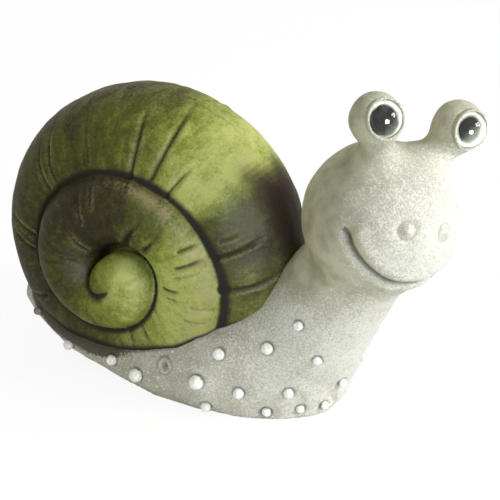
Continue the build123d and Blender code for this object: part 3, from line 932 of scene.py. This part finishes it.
def eyeCircle(nodes, side, ground):
    # Dark smoky circle on a pale ground, paler towards the snail's left and down
    aside, down, radius, soft = eyeCircles[side]
    middle = bulbCentre(side) - cheek * aside - crown * down
    offset = nodes.vector("SUBTRACT", nodes.place(), tuple(middle))
    forward = nodes.vector("DOT_PRODUCT", offset, tuple(gaze(side)))
    length = nodes.vector("LENGTH", offset)
    square = nodes.minus(nodes.times(length, length), nodes.times(forward, forward))
    away = nodes.math("SQRT", nodes.larger(square, 0.0))
    cloud = nodes.cloud(offset, eyePaint["cloudScale"], 3.0)
    left, up = eyePaint["paleWay"]
    paleWay = nodes.vector("DOT_PRODUCT", offset, tuple(cheek * left + crown * up))
    pale = nodes.plus(nodes.band(paleWay, -1.0, 6.5), nodes.swing(cloud, 0.6))
    dark = nodes.mix(nodes.times(pale, 0.8, clamp=True), eyePaint["pupil"], eyePaint["pupilPale"])
    flecks = nodes.add("ShaderNodeTexVoronoi", {"Vector": offset, "Scale": eyePaint["fleckScale"]}).outputs["Distance"]
    dark = nodes.mix(nodes.band(flecks, 0.16, 0.07, 0.0, 0.35), dark, eyePaint["white"])
    ragged = nodes.plus(away, nodes.swing(cloud, 1.2))
    return nodes.mix(nodes.band(ragged, radius - soft, radius + soft), dark, ground)


def pupilMaterial(side, name):
    material, nodes, shader = newMaterial(name)
    coat(nodes, shader, {"Base Color": eyeCircle(nodes, side, eyePaint["white"]), **eyePaint["disc"]})
    return material


def backingMaterial(side, name):
    material, nodes, shader = newMaterial(name)
    grain = nodes.group(grainGroup, {"Vector": nodes.place(), **eyePaint["grain"]})
    ground = nodes.mix(nodes.times(grain["Grains"], 0.5), eyePaint["white"], eyePaint["whitePale"])
    coat(nodes, shader, {"Base Color": eyeCircle(nodes, side, ground), **eyePaint["backing"]})
    return material


def glassMaterial():
    material, nodes, shader = newMaterial("clearGlass")
    scuff = nodes.cloud(nodes.place(), 0.3, 3.0)
    coat(nodes, shader, {"Roughness": nodes.band(scuff, 0.35, 0.8, 0.0, 0.03), **eyePaint["glass"]})
    return material


# Shell piece
shellFinish = shellMaterial()
shell = runTree("shellCoil", coilTree(), {**coilInputs, "Finish": shellFinish})
skin = shell.modifiers.new("skin", "REMESH")
skin.mode = "VOXEL"
skin.voxel_size = coil["voxel"]
skin.use_smooth_shade = True
shell = plainCopy(shell, "shellCoil")
shell.data.materials.clear()
shell.data.materials.append(shellFinish)

# Where the shell's paint and painted shade lie: places in turns and degrees, widths in millimetres
shellMasks = {
    "sutureWidth": (2.6, 0.6), "outerWidth": 1.1, "contactWidth": (2.6, 1.6), "edgeBand": (5.5, 3.6),
    "rimAngle": 26.0, "patch": (2.375, 0.020, 10, 15.0), "rimShade": 0.16, "rustTurns": (2.376, 2.402, 2.44, 2.52),
}


def dressShell():
    mesh, marks = shell.data, shellMasks
    points = pointsOf(mesh)
    # The remeshed skin is eased before it is carved
    above = (points[:, 2] > coil["seat"] + coil["seatBand"])[:, None]
    movePoints(mesh, np.where(above, averaged(mesh, points, 2), points))
    masks = {}
    carveCreases(mesh, masks)
    points, normals = pointsOf(mesh), normalsOf(mesh)
    wave = unevenness(points, coil["waves"])
    movePoints(mesh, points + normals * np.where(points[:, 2] > coil["seat"] + coil["seatBand"], wave, 0)[:, None])
    points = pointsOf(mesh)
    _, turn, ring, innerGap, outerGap = coilPlace(points)
    foot = footField(points)
    later = smoothstep(0.85, 1.2, turn)
    thin, grows = marks["sutureWidth"]
    low, more = marks["contactWidth"]
    # Painted shadow and dark wash on both sides of each suture, in the hollows, and where the shell meets the foot
    masks["innerHollow"] = np.maximum.reduce([
        bell(np.maximum(innerGap - later, 0), thin + grows * later),
        0.95 * bell(np.maximum(outerGap, 0), marks["outerWidth"]),
        (0.25 + 0.65 * later) * smoothstep(0.25, 1.3, hollowness(mesh, 18)),
        0.95 * bell(np.maximum(foot, 0), low + more * smoothstep(-40, -110, points[:, 0])),
    ])
    start, width = marks["edgeBand"]
    edge = bell(outerGap - start, width) * smoothstep(1.2, 1.35, turn)
    rim = bell(np.abs(ring), marks["rimAngle"]) * smoothstep(1.95, 2.05, turn)
    patchTurn, turnWidth, patchRing, ringWidth = marks["patch"]
    patch = bell(np.hypot((turn - patchTurn) / turnWidth, (ring - patchRing) / ringWidth), 1.0)
    masks["edgeBand"] = np.maximum.reduce([edge, 0.35 * rim, 0.6 * patch])
    masks["ridge"] = smoothstep(0.03, 0.28, -hollowness(mesh, 5))
    # Brightness along the coil, part sprayed coat and part painted light, less a painted shade along the outer rim of
    # the inner whorls next to the suture
    sprayedAndLit = np.interp(turn, coatsAndLight[:, 0], coatsAndLight[:, 1]) - marks["rimShade"] * bell(ring, 24.0) * (turn < 2.3)
    masks["coat"] = averaged(mesh, sprayedAndLit, 6)
    first, full, fading, last = marks["rustTurns"]
    right = smoothstep(first, full, turn + 0.0006 * ring) * (1 - smoothstep(fading, last, turn))
    masks["rustPatch"] = right * (1 - smoothstep(12, 38 - 160 * np.maximum(turn - 2.41, 0), ring))
    for name, values in masks.items():
        paintMask(mesh, name, values)
    steps = lengths(np.diff(coilCentres, axis=0))
    along = np.interp(turn, coilTurns, np.concatenate([[0], np.cumsum(steps)]))
    # The two sides lie apart, so that their streaks differ
    way = np.stack([along, np.radians(ring) * coilShare(turn, 2) * coil["tube"], np.sign(points[:, 1]) * 40.0], 1)
    layer = mesh.attributes.new("coilWay", "FLOAT_VECTOR", "POINT")
    layer.data.foreach_set("vector", way.astype(np.float32).ravel())


dressShell()
print("stage: shell carved, faces", len(shell.data.polygons))

# Pellets, bedded where the CAD has them
pellets = {"subdivisions": 5, "lumpSize": 0.42, "lumpHeight": 0.28, "chipDepth": 0.5}


def pelletSpots(node):
    # Middle and radius of each loose ball in a CAD node
    mesh = cadNodes[node].data
    points = pointsOf(mesh)
    _, index = np.unique(np.round(points, 3), axis=0, return_inverse=True)
    index = index.ravel()
    label = np.arange(index.max() + 1)
    corners = index[np.array([tuple(face.vertices) for face in mesh.polygons])]
    while True:
        low = label[corners].min(1)
        fresh = label.copy()
        for k in range(3):
            np.minimum.at(fresh, corners[:, k], low)
        if (fresh == label).all():
            break
        label = fresh
    spots = []
    for value in np.unique(label):
        own = points[label[index] == value]
        spots.append(((own.min(0) + own.max(0)) / 2, float((own.max(0) - own.min(0)).mean()) / 2))
    return spots


def pelletTree():
    tree, nodes, given = newTree("beddedPellets", "Geometry", (
        ("Geometry", "Geometry", None), ("Lump size", "Float", pellets["lumpSize"]),
        ("Lump height", "Float", pellets["lumpHeight"]), ("Chip depth", "Float", pellets["chipDepth"]),
        ("Seed", "Int", 4), ("Finish", "Material", None),
    ), (("Geometry", "Geometry"),))
    ball = nodes.add("GeometryNodeMeshIcoSphere", {"Radius": 1.0, "Subdivisions": pellets["subdivisions"]})
    size = nodes.add("GeometryNodeInputNamedAttribute", {"Name": "size"}, data_type="FLOAT").outputs[0]
    fullTurns = {1: (6.28, 6.28, 6.28), "Seed": given["Seed"]}
    turned = nodes.add("FunctionNodeRandomValue", fullTurns, data_type="FLOAT_VECTOR")
    bed = nodes.add("GeometryNodeInstanceOnPoints", {
        "Points": given["Geometry"], "Instance": ball.outputs[0], "Rotation": turned.outputs[0], "Scale": size,
    })
    bed = nodes.add("GeometryNodeRealizeInstances", {"Geometry": bed})
    place = nodes.add("GeometryNodeInputPosition").outputs[0]
    normal = nodes.add("GeometryNodeInputNormal").outputs[0]
    lump = nodes.cloud(place, given["Lump size"], 2.0)
    swell = nodes.times(nodes.minus(lump, 0.56), nodes.times(given["Lump height"], 4.0))
    bite = nodes.band(nodes.cloud(place, nodes.times(given["Lump size"], 0.8), 1.0), 0.60, 0.66)
    swell = nodes.minus(swell, nodes.times(bite, given["Chip depth"]))
    offset = nodes.vector("SCALE", normal, nodes.math("MINIMUM", swell, 0.0))
    bed = nodes.add("GeometryNodeSetPosition", {"Geometry": bed, "Offset": offset})
    bed = nodes.add("GeometryNodeRealizeInstances", {"Geometry": bed})
    nodes.close({0: nodes.add("GeometryNodeSetMaterial", {"Geometry": bed, "Material": given["Finish"]})})
    return tree


pelletFinish, bedTree = pelletMaterial(), pelletTree()
pelletPieces, allPellets = {}, []


def bedPellets(node, name, seed):
    spots = pelletSpots(node)
    allPellets.extend(spots)
    host = runTree(name, bedTree, {
        "Lump size": pellets["lumpSize"], "Lump height": pellets["lumpHeight"], "Chip depth": pellets["chipDepth"],
        "Seed": seed, "Finish": pelletFinish,
    })
    host.data.from_pydata([tuple(spot) for spot, _ in spots], [], [])
    sizes = host.data.attributes.new("size", "FLOAT", "POINT")
    sizes.data.foreach_set("value", [radius for _, radius in spots])
    pelletPieces[node] = plainCopy(host, name)


bedPellets("right_flank_pellets", "rightFlankPellets", 4)
bedPellets("left_flank_pellets", "leftFlankPellets", 9)
bedPellets("chest_pellets", "chestPellets", 14)
print("stage: pellets bedded", len(allPellets))

# Body piece
bareDimple = {"spot": (-25.7, 25.8), "radius": 3.5, "depth": 1.1, "ringHeight": 0.9, "side": -40.0}


def dimpleGap(points):
    # Distance across the right flank from the middle of the bare dimple
    x, z = bareDimple["spot"]
    return np.hypot(points[:, 0] - x, points[:, 2] - z) + farOff * (points[:, 1] > bareDimple["side"])


def lidRing(side):
    # Rounded rim round the eye, spun about the eye's axis
    inner = lid["eyeRadius"] + lid["gap"] + 0.08
    outer = lid["eyeRadius"] + lid["gap"] + lid["wall"] + 0.3
    top, middle = lid["seat"] + lid["height"], (inner + outer) / 2
    half = (outer - inner) / 2
    arc = [(middle + half * math.cos(t), top - half + half * math.sin(t)) for t in np.linspace(0, math.pi, 13)]
    profile = [(outer - 0.3, 6.0), (outer, 8.4), *arc, (inner, 8.2), (inner + 0.3, 6.0)]
    steps = lid["steps"]
    first, second = eyeSpokes(side)
    points, faces = [], []
    for k in range(steps):
        turn = 2 * math.pi * k / steps
        spoke = first * math.cos(turn) + second * math.sin(turn)
        points += [bulbCentre(side) + spoke * r + gaze(side) * h for r, h in profile]
    count = len(profile)
    for k in range(steps):
        a, b = k * count, ((k + 1) % steps) * count
        faces += [(a + i, b + i, b + (i + 1) % count, a + (i + 1) % count) for i in range(count)]
    return np.array(points), faces


def makeBody():
    piece = fieldMesh("castBody", bodyField, body["low"], body["high"], body["voxel"])
    mesh, bedding = piece.data, body["bedding"]
    points = pointsOf(mesh)
    ground = points[:, 2] < 0.6
    eased = averaged(mesh, points, 2)
    eased[ground, 2] = np.minimum(eased[ground, 2], 0.0)
    eased[:, 2] = np.maximum(eased[:, 2], 0.0)
    normals = normalsOf(mesh)
    eased += normals * np.where(eased[:, 2] > 1.0, unevenness(eased, body["waves"]), 0)[:, None]
    # The skin meets each pellet a little behind its middle
    for spot, radius in allPellets:
        nearest = np.argmin(lengths(eased - spot))
        short = (spot - eased[nearest]) @ normals[nearest] - bedding["depth"] * radius
        away = lengths(eased - eased[nearest])
        reach = bell(away, bedding["reach"]) * smoothstep(0.0, 2.0, eased[:, 2])
        eased += normals * (np.clip(short, -bedding["most"], bedding["most"]) * reach)[:, None]
    # Soft hollow round each pellet, and the bare ring where one has come off
    for spot, radius in allPellets:
        gap = lengths(eased - spot)
        eased -= normals * (bedding["hollow"] * bell(gap - radius - 0.6, bedding["hollowWidth"]))[:, None]
    gap = dimpleGap(eased)
    raised = bareDimple["ringHeight"] * bell(gap - bareDimple["radius"], 0.8)
    eased += normals * (raised - bareDimple["depth"] * (1 - smoothstep(1.2, 3.0, gap)))[:, None]
    eased[:, 2] = np.maximum(eased[:, 2], 0.0)
    movePoints(mesh, eased)
    return piece


def joinMeshes(piece, extras, finish):
    # One mesh from the body's skin and its lid rims
    mesh = piece.data
    points = pointsOf(mesh)
    faces = [tuple(face.vertices) for face in mesh.polygons]
    name = piece.name
    bpy.data.objects.remove(piece)
    for more, moreFaces in extras:
        start = len(points)
        points = np.concatenate([points, more])
        faces += [tuple(start + i for i in face) for face in moreFaces]
    return newMesh(name, points, faces, finish)


# Where the body's paint, painted shade and painted light lie: places and widths in millimetres, then shares
bodyMasks = {
    "hollow": (0.12, 1.3), "hollowRounds": 26,
    "tail": (0, -80), "contactShare": (0.45, 0.45), "contactWidth": (0.8, 1.2),
    "ledgeFrom": (-35, -80), "ledgeStart": 1.0, "ledgeWidth": 3.2,
    "pelletShare": 0.75, "pelletWidth": 1.3,
    "mouthWidth": 2.0, "mouthReach": 9.0, "farSide": (-20, 60), "farFade": 0.6,
    "nostrilRing": (1.6, 1.0, 0.5), "bareRing": (1.7, 0.7, 0.7),
    "footTop": (62, 96), "brushAndLightWay": (0.95, -0.10, 0.10), "brushAndLightFacing": (-0.45, 1.1),
    "stalkFrom": (150, 178), "stalkFade": 0.45, "footFrom": (-20, 55), "footShare": (0.40, 0.5),
    "chestBelow": (100, 60), "chestFrom": (20, 75), "chestFacing": (-0.6, 0.5),
}


def dressBody(mesh):
    marks, masks = bodyMasks, {}
    points, normals = pointsOf(mesh), normalsOf(mesh)
    x, z = points[:, 0], points[:, 2]
    gap = coilPlace(points)[0]
    masks["hollow"] = smoothstep(*marks["hollow"], hollowness(mesh, marks["hollowRounds"]))
    # The painted shade under the shell is wide by the tail and thin towards the neck
    towardsTail = smoothstep(*marks["tail"], x)
    (share, moreShare), (width, wider) = marks["contactShare"], marks["contactWidth"]
    contactShade = (share + moreShare * towardsTail) * bell(np.maximum(gap, 0), width + wider * towardsTail)
    ledge = bell(np.maximum(gap - marks["ledgeStart"], 0), marks["ledgeWidth"])
    masks["ledge"] = smoothstep(*marks["ledgeFrom"], x) * ledge
    # Painted shade round each pellet
    for spot, radius in allPellets:
        ownGap = np.maximum(lengths(points - spot) - radius, 0)
        contactShade = np.maximum(contactShade, marks["pelletShare"] * bell(ownGap, marks["pelletWidth"]))
    masks["contactShade"] = contactShade
    # Groove mask: painted shade along the mouth line and round the nostrils, and a darker ring at the bare dimple
    above, turn, reach = mouthPlace(points)
    line = bell(above, marks["mouthWidth"]) * (np.abs(turn) < mouth["halfTurn"])
    line = line * bell(reach - head["radius"], marks["mouthReach"])
    groove = line * (1.0 - marks["farFade"] * smoothstep(*marks["farSide"], turn))
    away, width, share = marks["nostrilRing"]
    for side in (-1, 1):
        gap = lengths(points - nostrilSpot(side))
        groove = np.maximum(groove, share * bell(gap - nostrils["radius"] - away, width))
    away, width, share = marks["bareRing"]
    ring = np.abs(dimpleGap(points) - bareDimple["radius"])
    masks["groove"] = np.maximum(groove, share * bell(ring - away, width))
    footShare = 1 - smoothstep(*marks["footTop"], z)
    masks["footShare"] = footShare
    # Paler where it faces forward and right, on the chest, and on the foot from the middle on: partly the white dry
    # brush, partly painted light where the lamp on the right falls
    brushed = smoothstep(*marks["brushAndLightFacing"], normals @ np.array(marks["brushAndLightWay"]))
    brushed = brushed * (1 - marks["stalkFade"] * smoothstep(*marks["stalkFrom"], z))
    share, moreShare = marks["footShare"]
    foot = (share + moreShare * smoothstep(*marks["footFrom"], x)) * footShare
    chest = smoothstep(*marks["chestBelow"], z) * smoothstep(*marks["chestFrom"], x)
    chest = chest * smoothstep(*marks["chestFacing"], normals[:, 0])
    masks["brushed"] = np.maximum.reduce([brushed, foot, chest])
    for name, values in masks.items():
        paintMask(mesh, name, values)


castBody = joinMeshes(makeBody(), [lidRing(-1), lidRing(1)], bodyMaterial())
dressBody(castBody.data)
pelletMasks = {"flankFrom": 25, "ownReach": 1.3, "bedded": (0.15, -0.55), "brownBefore": -122}
for piece in pelletPieces.values():
    points = pointsOf(piece.data)
    near = np.zeros(len(points))
    for spot, radius in allPellets:
        # Painted shade on the side of each pellet that faces the body: flank pellets face sideways and chest pellets
        # forward
        flank = abs(spot[1]) > pelletMasks["flankFrom"]
        out = np.array((0, np.sign(spot[1]), 0) if flank else (1.0, 0, 0))
        own = lengths(points - spot) < radius * pelletMasks["ownReach"]
        near = np.where(own, smoothstep(*pelletMasks["bedded"], ((points - spot) @ out) / radius), near)
    paintMask(piece.data, "contactShade", near)
    # Pellets at the tail took the brown of the ledge
    paintMask(piece.data, "brown", (points[:, 0] < pelletMasks["brownBefore"]).astype(float))
print("stage: body cast, faces", len(castBody.data.polygons))

# Eyes
dome = {"radius": 9.95, "height": 9.1, "base": 9.1, "steps": 96, "rings": 32}


def eyeDome(side, name, finish):
    ball = (dome["radius"] ** 2 + dome["height"] ** 2) / (2 * dome["height"])
    half = math.asin(dome["radius"] / ball)
    ahead, (first, second) = gaze(side), eyeSpokes(side)
    middle = bulbCentre(side) + ahead * (dome["base"] + dome["height"] - ball)
    steps, rings = dome["steps"], dome["rings"]
    points, faces = [middle + ahead * ball], []
    for r in range(1, rings + 1):
        tilt = half * r / rings
        for k in range(steps):
            turn = 2 * math.pi * k / steps
            spoke = first * math.cos(turn) + second * math.sin(turn)
            points.append(middle + (ahead * math.cos(tilt) + spoke * math.sin(tilt)) * ball)
    for k in range(steps):
        after = (k + 1) % steps
        faces.append((0, 1 + k, 1 + after))
        for a in range(1, 1 + (rings - 1) * steps, steps):
            b = a + steps
            faces.append((a + k, b + k, b + after, a + after))
    # The flat back closes the dome, and its faces are shaded flat
    rim = 1 + (rings - 1) * steps
    points.append(bulbCentre(side) + ahead * dome["base"])
    faces += [(len(points) - 1, rim + (k + 1) % steps, rim + k) for k in range(steps)]
    piece = newMesh(name, points, faces, finish)
    sharp = piece.data.attributes.new("sharp_face", "BOOLEAN", "FACE")
    sharp.data.foreach_set("value", [index >= len(faces) - steps for index in range(len(faces))])
    return piece


glassFinish = glassMaterial()
domes = {}
for side, word in ((-1, "right"), (1, "left")):
    domes[word] = eyeDome(side, word + "EyeDome", glassFinish)
    for part, finish in (("pupil", pupilMaterial), ("backing", backingMaterial)):
        painted = finish(side, word + part.capitalize())
        for slot in cadNodes[word + "_eye_" + part].material_slots:
            slot.material = painted
print("stage: eyes set")

# Which CAD nodes the pieces stand for
for piece, nodeName, slotName in (
    (shell, "shell_casting", "green_casting"), (castBody, "body_casting", "grey_casting"),
    (pelletPieces["right_flank_pellets"], "right_flank_pellets", "white_pellets"),
    (pelletPieces["left_flank_pellets"], "left_flank_pellets", "white_pellets"),
    (pelletPieces["chest_pellets"], "chest_pellets", "white_pellets"),
    (domes["right"], "right_eye_dome", "clear_glass"), (domes["left"], "left_eye_dome", "clear_glass"),
):
    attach(piece, "root")
    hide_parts(nodeName)

# Studio: pale floor, white surroundings, a soft lamp to the right and a small one for the eyes' catch light
studio = {
    "azimuth": 31.0,
    "elevation": 26.0,
    "distance": 1.1,
    "target": (0, 0, 0.0848),
    "millimetresPerPixel": 0.585,
    "halfPixels": 250,
    "worldLight": 0.60,
    "floorHalf": 3.0,
    "floorDrop": 0.05,
    "floorPaint": {"Base Color": (0.86, 0.86, 0.85, 1), "Roughness": 0.9},
    "floorGlow": {"Color": (1, 1, 1, 1), "Strength": 1.04},
    "glowShare": 0.86,
}
azimuth, elevation = math.radians(studio["azimuth"]), math.radians(studio["elevation"])
toRight = Vector((math.cos(azimuth), math.sin(azimuth), 0))
flat = math.cos(elevation)
toCamera = Vector((math.sin(azimuth) * flat, -math.cos(azimuth) * flat, math.sin(elevation)))
target = Vector(studio["target"])
# Lamps: way from the target, distance, size across and power
lamps = {
    "keyLamp": (toCamera * 0.40 + toRight * 1.05 + Vector((0, 0, 0.50)), 1.3, 0.55, 12.5),
    "eyeLamp": (toCamera + toRight * 0.32 - Vector((0, 0, 0.30)), 1.15, 0.55, 60.0),
}


def backgroundRay(nodes):
    path = nodes.add("ShaderNodeLightPath").outputs
    return nodes.larger(nodes.larger(path["Is Camera Ray"], path["Is Glossy Ray"]), path["Is Transmission Ray"])


def aim(holder, way, distance):
    holder.location = target + way.normalized() * distance
    holder.rotation_euler = way.to_track_quat("Z", "Y").to_euler()


def setStudio():
    scene = bpy.context.scene
    world = bpy.data.worlds.new("whiteRoom")
    world.use_nodes = True
    scene.world = world
    nodes = NodeTree(world.node_tree)
    background = world.node_tree.nodes["Background"]
    background.inputs["Color"].default_value = (1, 1, 1, 1)
    nodes.feed(background.inputs["Strength"], nodes.band(backgroundRay(nodes), 0, 1, studio["worldLight"], 1.0))
    half, low = studio["floorHalf"] / mm, -studio["floorDrop"]
    corners = [(-half, -half, low), (half, -half, low), (half, half, low), (-half, half, low)]
    material, nodes, shader = newMaterial("paleFloor")
    coat(nodes, shader, studio["floorPaint"])
    glow = nodes.add("ShaderNodeEmission", studio["floorGlow"])
    share = nodes.times(backgroundRay(nodes), studio["glowShare"])
    mix = nodes.add("ShaderNodeMixShader", {0: share, 1: shader, 2: glow})
    out = next(node for node in material.node_tree.nodes if node.type == "OUTPUT_MATERIAL")
    nodes.feed(out.inputs[0], mix)
    floor = newMesh("paleFloor", corners, [(0, 1, 2, 3)], material)
    for name, (way, distance, across, power) in lamps.items():
        lamp = bpy.data.lights.new(name, "AREA")
        lamp.shape = "DISK"
        lamp.size = across
        lamp.energy = power
        holder = newPiece(name, lamp)
        aim(holder, way, distance)
        # The small lamp only puts the catch light into the eyes
        holder.visible_diffuse = name != "eyeLamp"
    camera = bpy.data.cameras.new("photoCamera")
    camera.angle = 2 * math.atan(studio["halfPixels"] * studio["millimetresPerPixel"] * mm / studio["distance"])
    camera.clip_start = 0.01
    scene.camera = newPiece("photoCamera", camera)
    aim(scene.camera, toCamera, studio["distance"])
    scene.view_settings.view_transform = "Standard"


setStudio()
print("stage: studio set")
